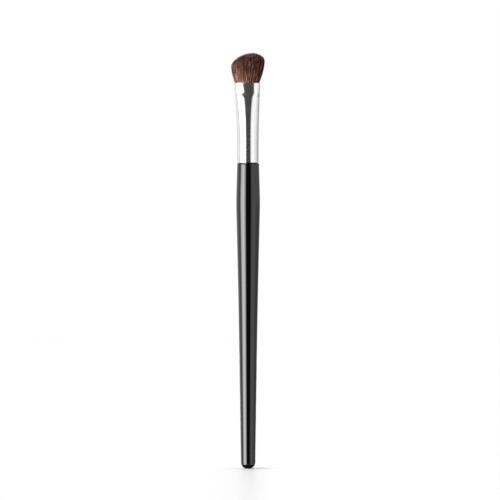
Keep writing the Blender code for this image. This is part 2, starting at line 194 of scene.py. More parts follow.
# Painted shade at the foot on the long side.
FOOT_PAINTED_SHADE = (0.18, 0.4, 0.8)
# Painted highlight just over the mouth.
MOUTH_PAINTED_HIGHLIGHT_HUMP = (0.34, 0.15, 0.35)
MOUTH_HUMP_REACH = 0.14
# Painted shade over the crown, most near the middle.
TIP_PAINTED_SHADE = 0.08
TIP_PAINTED_SHADE_HUMP = (0.18, -0.1, 0.5)
TIP_SPAN = (0.6, 0.95)
# Paler roots on the short side: partly the hair's own colour, partly painted light.
PALE_ROOTS_AND_PAINTED_LIGHT = (0.6, 0.7895, -0.2632)
HAIR_WARMTH = 0.06
WISP_WARMTH = 0.2
COOL_TIPS = (0.09, 0.7, 1.0)
WARM_LONG_SIDE = (0.14, -0.1, 0.4)
WARM_SPAN = (0.4, 0.8)
GREEN_SHORT_SIDE = (0.12, -0.1, -0.6)

# Camera
CAMERA_DISTANCE = 2.0
CAMERA_SIDE = 0.777 * MM
CAMERA_HEIGHT = 91.77 * MM
VIEW_WIDTH = 0.21
SENSOR_WIDTH = 36.0
FARTHEST = 20.0

# Light by direction. Stops are (azimuth in degrees, brightness): 0 is towards the camera, 90 is on its
# right and 180 behind the brush. Edges are values of the direction's Z.
ROOM_STOPS = (
    (-180, 1.0), (-172, 1.0), (-163, 0.58), (-140, 0.78), (-126, 0.96), (-114, 0.84), (-98, 0.68),
    (-84, 0.88), (-76, 1.0), (-25, 1.0), (-22, 0.4), (-17, 0.045), (22, 0.045), (26, 0.16), (32, 0.85),
    (41, 1.0), (54, 1.04), (65, 1.0), (75, 0.9), (87, 0.86), (100, 0.78), (112, 0.59), (122, 0.485),
    (160, 0.42), (168, 1.0), (180, 1.0),
)
LOW_WALL_STOPS = (
    (-180, 1.0), (44, 1.0), (57, 1.06), (68, 1.03), (80, 0.91), (90, 0.71), (102, 0.58), (120, 0.58),
    (136, 0.85), (148, 1.0), (180, 1.0),
)
LOW_WALL_EDGE = (0.042, -0.035)
CEILING_STOPS = (
    (-180, 0.8), (-40, 0.8), (-22, 0.4), (-16, 0.045), (22, 0.045), (30, 0.25), (60, 0.35), (130, 0.35),
    (180, 0.8),
)
CEILING_EDGE = (0.25, 0.5)
KEY_STOPS = (
    (-180, 0.0), (-86, 0.0), (-79, 0.3), (-71, 0.8), (-60, 0.99), (-48, 1.07), (-37, 0.82), (-28, 0.31),
    (-22, 0.0), (180, 0.0),
)
KEY_FOOT = (-0.62, -0.52)
KEY_TOP = (0.15, 0.07)
KEY_LIGHT = 7.2
FRONT_STOPS = ((-180, 0.0), (-95, 0.0), (-70, 1.0), (-38, 1.0), (-24, 0.0), (180, 0.0))
FRONT_FOOT = (0.58, 0.68)
FRONT_LIGHT = 4.2
FLOOR_GLOW = 0.65
FLOOR_GLOW_EDGE = (-0.46, -0.66)
WHITE = (1, 1, 1, 1)

# Floor
FLOOR_HALF_SIZE = 3.0
FLOOR_COLOUR = (0.95, 0.95, 0.95, 1)
FLOOR_GLOSS = 0.26
FLOOR_ROUGHNESS = 0.35
FLOOR_FILL = 0.12
FLOOR_LEVEL = 0.895
# Painted shade: round the tail the white fill is taken away, deepening the contact shadow.
PAINTED_CONTACT_SHADE_EDGE = (3.0 * MM, 16.0 * MM)
# Painted light: on the long side a flat lit level covers the cast shadow.
PAINTED_LIGHT_SIDE_FADE = (2.5 * MM, 12.0 * MM)
SIDE_FADE_SHARE = 0.8
# Painted shade for reflections: a dim spot round the tail, where the table lies in the brush's shade.
PAINTED_SHADE_SPOT_EDGE = (5.6 * MM, 4.0 * MM)
PAINTED_SHADE_SPOT_LEVEL = 0.07

# Facets
SEGMENTS = 160
FERRULE_SEGMENTS = 320
HANDLE_RINGS = 110
PRESS_RINGS = 180
SHARP_ANGLE = math.radians(38)
UV_MARGIN = 0.1  # bare share of a hair's square in the UV map, on each side

# Sockets of the Mix node when it mixes colours
MIX_FIRST = 6
MIX_SECOND = 7
MIX_RESULT = 2

BELLY_HEIGHT = SHOULDER_HEIGHT - BELLY_TO_SHOULDER
NECK_HEIGHT = BELLY_HEIGHT - NECK_TO_BELLY
FERRULE_FOOT = SHOULDER_HEIGHT + SEAT_GAP
MOUTH_HEIGHT = FERRULE_FOOT + FERRULE_LENGTH
ROUND_TOP = FERRULE_FOOT + ROUND_LENGTH
CREASE_HEIGHT = MOUTH_HEIGHT - CREASE_DEPTH
TENON_RADIUS = FERRULE_RADIUS - FERRULE_WALL - 2 * FIT_GAP - GLUE_THICKNESS
TENON_TOP = SHOULDER_HEIGHT + TENON_LENGTH
KNOT_TOP = MOUTH_HEIGHT - KNOT_RECESS
KNOT_FOOT = KNOT_TOP - KNOT_LENGTH
KNOT_NECK_TOP = KNOT_TOP - KNOT_COLLAR - KNOT_SLOPE
KNOT_INSET = FERRULE_WALL + FIT_GAP
NECK_INSET = KNOT_INSET + THREAD_DIAMETER + 2 * FIT_GAP


# Materials


class Nodes:
    """Short calls for building a node tree."""

    def __init__(self, tree):
        self.tree = tree

    def add(self, kind, settings=None, **inputs):
        node = self.tree.nodes.new(kind)
        for key, value in (settings or {}).items():
            setattr(node, key, value)
        for key, value in inputs.items():
            self.plug(node, key.replace("_", " "), value)
        return node

    def plug(self, node, key, value):
        socket = node.inputs[int(key)] if key.isdigit() else node.inputs[key]
        if isinstance(value, bpy.types.NodeSocket):
            self.tree.links.new(value, socket)
        else:
            socket.default_value = value

    def math(self, operation, a, b=0.0):
        node = self.add("ShaderNodeMath", {"operation": operation})
        self.plug(node, "0", a)
        self.plug(node, "1", b)
        return node.outputs[0]

    def product(self, first, *others):
        for value in others:
            first = self.math("MULTIPLY", first, value)
        return first

    def blend(self, first, second, share):
        """The first value where the share is 0, and the second where it is 1."""
        return self.math("ADD", first, self.product(self.math("SUBTRACT", second, first), share))

    def joined(self, kind, first, second, **inputs):
        """A Mix Shader or Add Shader of two shaders; a mix is all second where its Fac is 1."""
        node = self.add(kind, **inputs)
        self.tree.links.new(first.outputs[0], node.inputs[-2])
        self.tree.links.new(second.outputs[0], node.inputs[-1])
        return node

    def output(self, kind, shader):
        node = self.add(kind)
        self.tree.links.new(shader.outputs[0], node.inputs["Surface"])

    def ramp(self, factor, stops):
        node = self.add("ShaderNodeValToRGB", Fac=factor)
        points = node.color_ramp.elements
        while len(points) > 1:
            points.remove(points[-1])
        for index, (place, value) in enumerate(stops):
            point = points[0] if index == 0 else points.new(place)
            point.position = place
            colour = value if isinstance(value, tuple) else (value, value, value)
            point.color = (*colour, 1.0)
        return node.outputs["Color"]

    def noise(self, vector, scale, detail=2.0, roughness=0.5):
        inputs = {"Vector": vector, "Scale": scale, "Detail": detail, "Roughness": roughness}
        return self.add("ShaderNodeTexNoise", **inputs).outputs["Fac"]

    def stretched(self, scale):
        """Object coordinates, stretched or squeezed along each axis."""
        place = self.add("ShaderNodeTexCoord").outputs["Object"]
        return self.add("ShaderNodeMapping", Vector=place, Scale=scale).outputs["Vector"]

    def mapped(self, value, low, high):
        return self.add("ShaderNodeMapRange", Value=value, To_Min=low, To_Max=high).outputs["Result"]

    def smooth_step(self, value, start, end):
        """0 before start and 1 past end, with level ends; start may be the larger."""
        settings = {"interpolation_type": "SMOOTHSTEP"}
        node = self.add("ShaderNodeMapRange", settings, Value=value, From_Min=start, From_Max=end)
        return node.outputs["Result"]

    def bump(self, height, strength, distance):
        node = self.add("ShaderNodeBump", Strength=strength, Distance=distance, Height=height)
        return node.outputs["Normal"]


def new_material(name, colour, roughness, **constants):
    material = bpy.data.materials.new(name)
    material.use_nodes = True
    nodes = Nodes(material.node_tree)
    shader = material.node_tree.nodes["Principled BSDF"]
    shader.inputs["Base Color"].default_value = (*colour, 1.0)
    shader.inputs["Roughness"].default_value = roughness
    for key, value in constants.items():
        shader.inputs[key.replace("_", " ")].default_value = value
    material.diffuse_color = (*colour, 1.0)
    return material, nodes, shader


def lacquer_material():
    """Black gloss lacquer over turned wood: a faint orange peel, and dull specks where it was handled."""
    black = (0.0025, 0.0025, 0.0027)
    material, nodes, shader = new_material("black_lacquer", black, 0.05, Specular_IOR_Level=0.76)
    peel = nodes.noise(nodes.stretched((700, 700, 260)), 1.0, 3.0)
    nodes.plug(shader, "Normal", nodes.bump(peel, 0.12, 0.01 * MM))
    haze = nodes.noise(nodes.stretched((900, 900, 120)), 1.0, 4.0, 0.6)
    nodes.plug(shader, "Roughness", nodes.mapped(haze, 0.035, 0.075))
    specks = nodes.noise(nodes.stretched((2600, 2600, 2600)), 1.0, 1.0)
    dust = nodes.ramp(specks, [(0.74, (0.0005, 0.0005, 0.0006)), (0.8, (0.006, 0.006, 0.006))])
    nodes.plug(shader, "Base Color", dust)
    return material


def chrome_material():
    """Bright plated metal with the fine lengthwise lines that drawing the tube leaves."""
    material, nodes, shader = new_material("polished_metal", (0.94, 0.94, 0.945), 0.1, Metallic=0.975)
    lines = nodes.noise(nodes.stretched((5200, 5200, 60)), 1.0, 3.0, 0.6)
    cloud = nodes.noise(nodes.stretched((420, 420, 300)), 1.0, 3.0)
    roughness = nodes.math("ADD", nodes.mapped(lines, 0.0, 0.05), nodes.mapped(cloud, 0.05, 0.1))
    nodes.plug(shader, "Roughness", roughness)
    nodes.plug(shader, "Normal", nodes.bump(lines, 0.06, 0.004 * MM))
    tone = nodes.ramp(cloud, [(0.3, (0.92, 0.92, 0.925)), (0.7, (0.96, 0.96, 0.962))])
    nodes.plug(shader, "Base Color", tone)
    return material


def hair_material():
    """Brown hair: each strand's colour, which holds painted highlight, sheen and shade as well as the
    hair's own tone, broken up by fine scales along it.
    """
    material, nodes, shader = new_material("brown_hair", HAIR_COLOUR, 0.42, Specular_IOR_Level=0.1)
    tint = nodes.add("ShaderNodeAttribute", {"attribute_name": "hair_colour"}).outputs["Color"]
    scales = nodes.noise(nodes.stretched((9000, 9000, 1500)), 1.0, 2.0)
    grain = nodes.ramp(scales, [(0.25, 0.72), (0.5, 1.0), (0.75, 1.22)])
    mix = nodes.add("ShaderNodeMix", {"data_type": "RGBA", "blend_type": "MULTIPLY"})
    mix.inputs["Factor"].default_value = 1.0
    nodes.tree.links.new(tint, mix.inputs[MIX_FIRST])
    nodes.tree.links.new(grain, mix.inputs[MIX_SECOND])
    nodes.plug(shader, "Base Color", mix.outputs[MIX_RESULT])
    nodes.plug(shader, "Roughness", nodes.mapped(scales, 0.36, 0.56))
    return material


def knot_material():
    """Hair roots set in resin: brown, streaked along the hair, and glossy where the resin stands proud."""
    material, nodes, shader = new_material("bonded_hair", (0.09, 0.045, 0.03), 0.35)
    streaks = nodes.noise(nodes.stretched((5200, 5200, 160)), 1.0, 4.0, 0.65)
    stops = [(0.3, (0.045, 0.02, 0.013)), (0.55, (0.11, 0.052, 0.034)), (0.75, (0.2, 0.115, 0.07))]
    nodes.plug(shader, "Base Color", nodes.ramp(streaks, stops))
    nodes.plug(shader, "Roughness", nodes.mapped(streaks, 0.25, 0.55))
    nodes.plug(shader, "Normal", nodes.bump(streaks, 0.5, 0.05 * MM))
    return material


def resin_material():
    """Set epoxy, amber and glossy, with small bubbles near its skin."""
    material, nodes, shader = new_material("amber_resin", (0.78, 0.66, 0.42), 0.2)
    cells = nodes.add("ShaderNodeTexVoronoi", Vector=nodes.stretched((1600, 1600, 1600)), Scale=1.0)
    bubble = (0.9, 0.82, 0.62)
    stops = [(0.0, bubble), (0.12, bubble), (0.2, (0.76, 0.63, 0.38)), (1.0, (0.7, 0.56, 0.32))]
    nodes.plug(shader, "Base Color", nodes.ramp(cells.outputs["Distance"], stops))
    cloud = nodes.noise(nodes.stretched((500, 500, 500)), 1.0, 3.0)
    nodes.plug(shader, "Roughness", nodes.mapped(cloud, 0.12, 0.34))
    nodes.plug(shader, "Normal", nodes.bump(cells.outputs["Distance"], 0.2, 0.03 * MM))
    return material


def glue_material():
    """Cured glue, dull and slightly lumpy where it was squeezed between wood and metal."""
    material, nodes, shader = new_material("tenon_glue", (0.72, 0.62, 0.4), 0.45)
    lumps = nodes.noise(nodes.stretched((1300, 1300, 1300)), 1.0, 4.0, 0.6)
    tone = nodes.ramp(lumps, [(0.3, (0.6, 0.49, 0.28)), (0.7, (0.8, 0.71, 0.49))])
    nodes.plug(shader, "Base Color", tone)
    nodes.plug(shader, "Roughness", nodes.mapped(lumps, 0.35, 0.6))
    nodes.plug(shader, "Normal", nodes.bump(lumps, 0.4, 0.05 * MM))
    return material


def thread_material():
    """Pale cotton thread with loose fibres."""
    material, nodes, shader = new_material("cotton_thread", (0.75, 0.7, 0.62), 0.8, Sheen_Weight=0.3)
    fibres = nodes.noise(nodes.stretched((9000, 9000, 9000)), 1.0, 4.0, 0.7)
    tone = nodes.ramp(fibres, [(0.3, (0.58, 0.53, 0.45)), (0.7, (0.82, 0.78, 0.7))])
    nodes.plug(shader, "Base Color", tone)
    nodes.plug(shader, "Normal", nodes.bump(fibres, 0.6, 0.03 * MM))
    return material


# Shapes


def ease(share):
    """0 to 1 with level ends."""
    share = np.clip(share, 0.0, 1.0)
    return share * share * (3 - 2 * share)


def climb(value, start, end):
    """0 before start and 1 past end, with level ends; start may be the larger."""
    return ease((value - start) / (end - start))


def hump(value, middle, width):
    """1 at the middle, and falling away on both sides."""
    return np.exp(-(((value - middle) / width) ** 2))


def scaled(shape, settings, value):
    """A climb or hump at a value, from its (strength, start, end) or (strength, middle, width)."""
    strength, *place = settings
    return strength * shape(value, *place)


def hermite(stations, height):
    """Radius at a height on the smooth curve through (height, radius, slope) stations."""
    for (z0, r0, m0), (z1, r1, m1) in zip(stations, stations[1:]):
        if height <= z1:
            break
    span = z1 - z0
    t = (height - z0) / span
    return (
        r0 * (1 + 2 * t) * (1 - t) ** 2
        + r1 * t * t * (3 - 2 * t)
        + span * m0 * t * (1 - t) ** 2
        + span * m1 * t * t * (t - 1)
    )


def oval_points(half_width, half_depth, squareness, turns):
    cosine = np.cos(turns)
    sine = np.sin(turns)
    x = half_width * np.sign(cosine) * np.abs(cosine) ** (2 / squareness)
    y = half_depth * np.sign(sine) * np.abs(sine) ** (2 / squareness)
    return x, y


def full_turn(count):
    return 2 * math.pi * np.arange(count) / count


def girth(half_width, half_depth, squareness):
    x, y = oval_points(half_width, half_depth, squareness, full_turn(GIRTH_POINTS))
    return np.hypot(np.diff(x, append=x[0]), np.diff(y, append=y[0])).sum()


def pressed_half_depth(half_width, squareness):
    """Half depth that keeps the drawn tube's girth when its half width is pressed out."""
    target = girth(FERRULE_RADIUS, FERRULE_RADIUS, ROUND_SQUARENESS)
    low = 0.0
    high = half_width
    for _ in range(HALVINGS):
        middle = (low + high) / 2
        if girth(half_width, middle, squareness) < target:
            low = middle
        else:
            high = middle
    return middle


def past_crease(height):
    """How far a height is over the crease's step, and how far on from there to the mouth, both 0 to 1."""
    over = height - CREASE_HEIGHT
    return ease(over / CREASE_EASE + 0.5), ease(over / CREASE_DEPTH)


def section_twist(height):
    """Turn of the ferrule's section about its axis: it leans furthest just over the crease."""
    crease, above = past_crease(height)
    pressed = climb(height, ROUND_TOP, MOUTH_HEIGHT)
    return MOUTH_TWIST * pressed + CREASE_TWIST * crease * (1 - above)


def twisted(x, y, twist):
    return x * np.cos(twist) - y * np.sin(twist), x * np.sin(twist) + y * np.cos(twist)


def section(height):
    """The ferrule's outer section at a height: centre, half width, half depth and squareness."""
    share = min(max((height - ROUND_TOP) / (MOUTH_HEIGHT - ROUND_TOP), 0.0), 1.0)
    pressed = share**PRESS_POWER
    crease, above = past_crease(height)
    flat = climb(height, MOUTH_HEIGHT - FLAT_LENGTH - FLAT_EASE, MOUTH_HEIGHT - FLAT_LENGTH)
    flat = flat + (crease - flat) * CREASE_SHARE - MOUTH_RELAX * above
    squareness = ROUND_SQUARENESS + (MOUTH_SQUARENESS - ROUND_SQUARENESS) * flat
    half_width = FERRULE_RADIUS + (MOUTH_HALF_WIDTH - FERRULE_RADIUS) * pressed
    half_depth = pressed_half_depth(half_width, squareness)
    return FERRULE_SHIFT + MOUTH_SHIFT * pressed, half_width, half_depth, squareness


def section_ring(height, inset, count=FERRULE_SEGMENTS):
    """Points round the ferrule's section at a height, drawn in by inset from its outer surface."""
    centre, half_width, half_depth, squareness = section(height)
    x, y = oval_points(half_width - inset, half_depth - inset, squareness, full_turn(count))
    x, y = twisted(x, y, section_twist(height))
    return np.column_stack([centre + x, y, np.full(count, height)])


def add_piece(name, points, faces, material, sharp_edges=True):
    mesh = bpy.data.meshes.new(name)
    mesh.from_pydata(points, [], faces)
    mesh.shade_smooth()
    if sharp_edges:
        mesh.set_sharp_from_angle(angle=SHARP_ANGLE)
    mesh.materials.append(material)
    piece = bpy.data.objects.new(name, mesh)
    bpy.context.scene.collection.objects.link(piece)
    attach(piece, "root")
    return piece


def loft_faces(ring_count, count, wrapped=False):
    """Faces between rings that run up with their points anticlockwise.

    The two ends are capped, unless the last ring is wrapped round to the first.
    """
    faces = []
    for ring in range(ring_count if wrapped else ring_count - 1):
        low = ring * count
        high = (ring + 1) % ring_count * count
        for i in range(count):
            j = (i + 1) % count
            faces.append((low + i, low + j, high + j, high + i))
    if not wrapped:
        faces.append(tuple(reversed(range(count))))
        faces.append(tuple(range((ring_count - 1) * count, ring_count * count)))
    return faces


def lofted(name, rings, material, wrapped=False):
    points = np.concatenate(rings).tolist()
    return add_piece(name, points, loft_faces(len(rings), len(rings[0]), wrapped), material)


def turned_ring(radius, height):
    turns = full_turn(SEGMENTS)
    return np.column_stack([radius * np.cos(turns), radius * np.sin(turns), np.full(SEGMENTS, height)])


def tail_dome():
    """(radius, height) points from the edge of the tail's flat up to its widest ring."""
    flat_turn = math.acos((TAIL_FLAT_RADIUS / TAIL_RADIUS) ** (TAIL_SQUARENESS / 2))
    turns = np.linspace(flat_turn, 0, TAIL_RINGS)
    radius, drop = oval_points(TAIL_RADIUS, TAIL_DEPTH, TAIL_SQUARENESS, turns)
    return list(zip(radius, drop[0] - drop))


def handle_stations():
    return [
        (tail_dome()[-1][1], TAIL_RADIUS, TAIL_TAPER),
        (SHANK_HEIGHT, SHANK_RADIUS, SHANK_TAPER),
        (NECK_HEIGHT, NECK_RADIUS, NECK_TAPER),
        (BELLY_HEIGHT, BELLY_RADIUS, 0.0),
        (SHOULDER_HEIGHT - SHOULDER_FILLET, SHOULDER_RADIUS, SHOULDER_TAPER),
    ]


def handle_profile():
    """(radius, height) points from the tail's flat up the outside to the tenon's top."""
    stations = handle_stations()
    profile = tail_dome()
    for height in np.linspace(stations[0][0], SHOULDER_HEIGHT - SHOULDER_FILLET, HANDLE_RINGS)[1:]:
        profile.append((hermite(stations, height), height))
    fillet_centre = SHOULDER_RADIUS - SHOULDER_FILLET
    for turn in np.linspace(0, math.pi / 2, FILLET_RINGS)[1:]:
        radius = fillet_centre + SHOULDER_FILLET * math.cos(turn)
        profile.append((radius, SHOULDER_HEIGHT - SHOULDER_FILLET * (1 - math.sin(turn))))
    profile.append((TENON_RADIUS, SHOULDER_HEIGHT))
    middle = (SHOULDER_HEIGHT + TENON_TOP) / 2
    floor = TENON_RADIUS - GROOVE_DEPTH
    for index in range(GROOVE_COUNT):
        groove = middle + GROOVE_PITCH * (index - (GROOVE_COUNT - 1) / 2)
        foot = groove - GROOVE_WIDTH / 2
        top = groove + GROOVE_WIDTH / 2
        profile += [(TENON_RADIUS, foot - GROOVE_ROUND), (TENON_RADIUS - GROOVE_ROUND, foot)]
        profile += [(floor, foot), (floor, top)]
        profile += [(TENON_RADIUS - GROOVE_ROUND, top), (TENON_RADIUS, top + GROOVE_ROUND)]
    profile.append((TENON_RADIUS, TENON_TOP - TENON_CHAMFER))
    profile.append((TENON_RADIUS - TENON_CHAMFER, TENON_TOP))
    return profile


def make_handle(material):
    rings = [turned_ring(radius, height) for radius, height in handle_profile()]
    handle = lofted("lacquered_handle", rings, material)
    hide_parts("handle")


def dented(ring):
    """The ring with the small dent that leans across the ferrule's front."""
    above = ring[:, 2] - DENT_PLACE[1]
    across = ring[:, 0] - DENT_PLACE[0] + DENT_LEAN * above
    width = np.where(across < 0, *DENT_SIDES)
    height = np.where(above < 0, *DENT_ENDS)
    depth = DENT_DEPTH * hump(across, 0.0, width) * hump(above, 0.0, height)
    ring[:, 1] += np.where(ring[:, 1] < 0, depth, 0.0)
    return ring


def make_ferrule(material):
    """The tube: up its outer side, over the rolled rim and down its bore."""
    heights = [FERRULE_FOOT + rise for rise in FOOT_RINGS]
    heights += list(np.linspace(ROUND_TOP, MOUTH_HEIGHT - RIM_ROLL, PRESS_RINGS))
    rings = [section_ring(FERRULE_FOOT, FOOT_BEVEL)]
    rings += [dented(section_ring(height, 0.0)) for height in heights]
    rim = []
    for turn in np.linspace(0, math.pi / 2, RIM_RINGS)[1:]:
        rim.append((MOUTH_HEIGHT - RIM_ROLL * (1 - math.sin(turn)), RIM_ROLL * (1 - math.cos(turn))))
    rings += [section_ring(height, inset) for height, inset in rim]
    rings += [section_ring(height, FERRULE_WALL - inset) for height, inset in reversed(rim)]
    rings += [section_ring(height, FERRULE_WALL) for height in reversed(heights[::BORE_STEP])]
    rings.append(section_ring(FERRULE_FOOT, FERRULE_WALL))
    ferrule = lofted("drawn_ferrule", rings, material, wrapped=True)
    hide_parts("ferrule")


def make_knot(material):
    """The bonded roots of the hair, which the strands grow from."""
    profile = (
        (KNOT_FOOT, NECK_INSET + KNOT_FOOT_BEVEL),
        (KNOT_FOOT + KNOT_FOOT_BEVEL, NECK_INSET),
        (KNOT_NECK_TOP, NECK_INSET),
        (KNOT_TOP - KNOT_COLLAR, KNOT_INSET),
        (KNOT_TOP - KNOT_TOP_BEVEL, KNOT_INSET),
        (KNOT_TOP, KNOT_INSET + KNOT_TOP_BEVEL),
    )
    rings = [section_ring(height, inset, KNOT_SEGMENTS) for height, inset in profile]
    lofted("bonded_knot", rings, material)


def make_thread(material):
    """The binding thread: plies twisted round the helix that it is wound on."""
    room = KNOT_NECK_TOP - KNOT_FOOT - THREAD_DIAMETER - 2 * FIT_GAP
    turns = int(room / THREAD_PITCH)
    foot = (KNOT_FOOT + KNOT_NECK_TOP - THREAD_PITCH * turns) / 2
    inset = NECK_INSET - FIT_GAP - THREAD_DIAMETER / 2
    path = []
    for step in range(turns * THREAD_STEPS + 1):
        height = foot + THREAD_PITCH * step / THREAD_STEPS
        turn = 2 * math.pi * step / THREAD_STEPS
        centre, half_width, half_depth, squareness = section(height)
        x, y = oval_points(half_width - inset, half_depth - inset, squareness, turn)
        x, y = twisted(x, y, section_twist(height))
        path.append(Vector((centre + x, y, height)))
    ply_radius = THREAD_DIAMETER / 2 * PLY_SHARE
    offset = THREAD_DIAMETER / 2 - ply_radius
    points = []
    faces = []
    for ply in range(PLY_COUNT):
        first = len(points)
        for step, place in enumerate(path):
            along = (path[min(step + 1, len(path) - 1)] - path[max(step - 1, 0)]).normalized()
            side = along.cross(Vector((0, 0, 1))).normalized()
            up = side.cross(along)
            lay = 2 * math.pi * (PLY_TWISTS * step / THREAD_STEPS + ply / PLY_COUNT)
            middle = place + offset * (math.cos(lay) * side + math.sin(lay) * up)
            for turn in full_turn(PLY_SIDES):
                points.append(middle + ply_radius * (math.cos(turn) * side + math.sin(turn) * up))
        for face in loft_faces(len(path), PLY_SIDES):
            faces.append(tuple(first + i for i in face))
    thread = add_piece("twisted_thread", [tuple(point) for point in points], faces, material)
    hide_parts("binding_thread")


# Hair


def field(height):
    """Centre, half sizes and turn of the oval that the hair fills at a height."""
    root_centre, root_width, root_depth, _ = section(KNOT_TOP)
    mouth_centre, mouth_width, mouth_depth, _ = section(MOUTH_HEIGHT)
    inside = np.clip((height - KNOT_TOP) / KNOT_RECESS, 0.0, 1.0)
    inset = HAIR_RADIUS + KNOT_INSET + (FERRULE_WALL - KNOT_INSET) * inside
    share = np.clip((height - MOUTH_HEIGHT) / FLARE_HEIGHT, 0.0, 1.0)
    spread = 1 - (1 - share) ** 2
    half_width = root_width + (mouth_width - root_width) * inside - inset
    half_depth = root_depth + (mouth_depth - root_depth) * inside - inset
    half_width = half_width + (TUFT_HALF_WIDTH - HAIR_RADIUS - half_width) * spread
    half_depth = half_depth + (TUFT_HALF_DEPTH - HAIR_RADIUS - half_depth) * spread
    centre = (root_centre + (mouth_centre - root_centre) * inside) * (1 - share * share)
    twist = section_twist(np.minimum(height, MOUTH_HEIGHT)) * (1 - share)
    return centre, half_width, half_depth, twist


def dome_drop(share, power):
    """How far a dome of unit height has dropped at a share of its half width."""
    return 1 - (1 - np.clip(share, 0.0, 1.0) ** power) ** (1 / power)


def crown_height(u, v):
    """Height of a hair's tip at shares (u, v): a dome whose peak lies towards the long side."""
    across = u - PEAK_SHARE
    long_side = LONG_SIDE_DROP * dome_drop(across / (1 - PEAK_SHARE), LONG_SIDE_POWER)
    short_side = SHORT_SIDE_DROP * dome_drop(-across / (1 + PEAK_SHARE), SHORT_SIDE_POWER)
    drop = np.where(across > 0, long_side, short_side)
    return MOUTH_HEIGHT + TUFT_HEIGHT - drop - DEPTH_DROP * dome_drop(np.abs(v), DEPTH_POWER)


def spread_places(count, jitter, random):
    """Shares (u, v) spread evenly over the unit oval, as seeds are in a sunflower."""
    index = np.arange(count) + 0.5
    radius = np.sqrt(index / count)
    turn = index * math.pi * (3 - math.sqrt(5))
    radius = np.clip(radius + random.normal(0, jitter, count), 0, EDGE_RADIUS)
    turn = turn + random.normal(0, jitter, count) / np.maximum(radius, CORE_RADIUS)
    squareness = section(KNOT_TOP)[3]
    edge = (np.abs(np.cos(turn)) ** squareness + np.abs(np.sin(turn)) ** squareness) ** (-1 / squareness)
    return radius * edge * np.cos(turn), radius * edge * np.sin(turn), radius


def bounded(random, count):
    """Normal values without the rare far ones."""
    return np.clip(random.normal(0, 1, count), *TONE_LIMITS)


def nearest(u, v, centre_u, centre_v):
    """Index of the centre nearest to each place; the tuft is thinner from front to back than across."""
    gap = (u[:, None] - centre_u) ** 2 + (DEPTH_WEIGHT * (v[:, None] - centre_v)) ** 2
    return np.argmin(gap, axis=1)


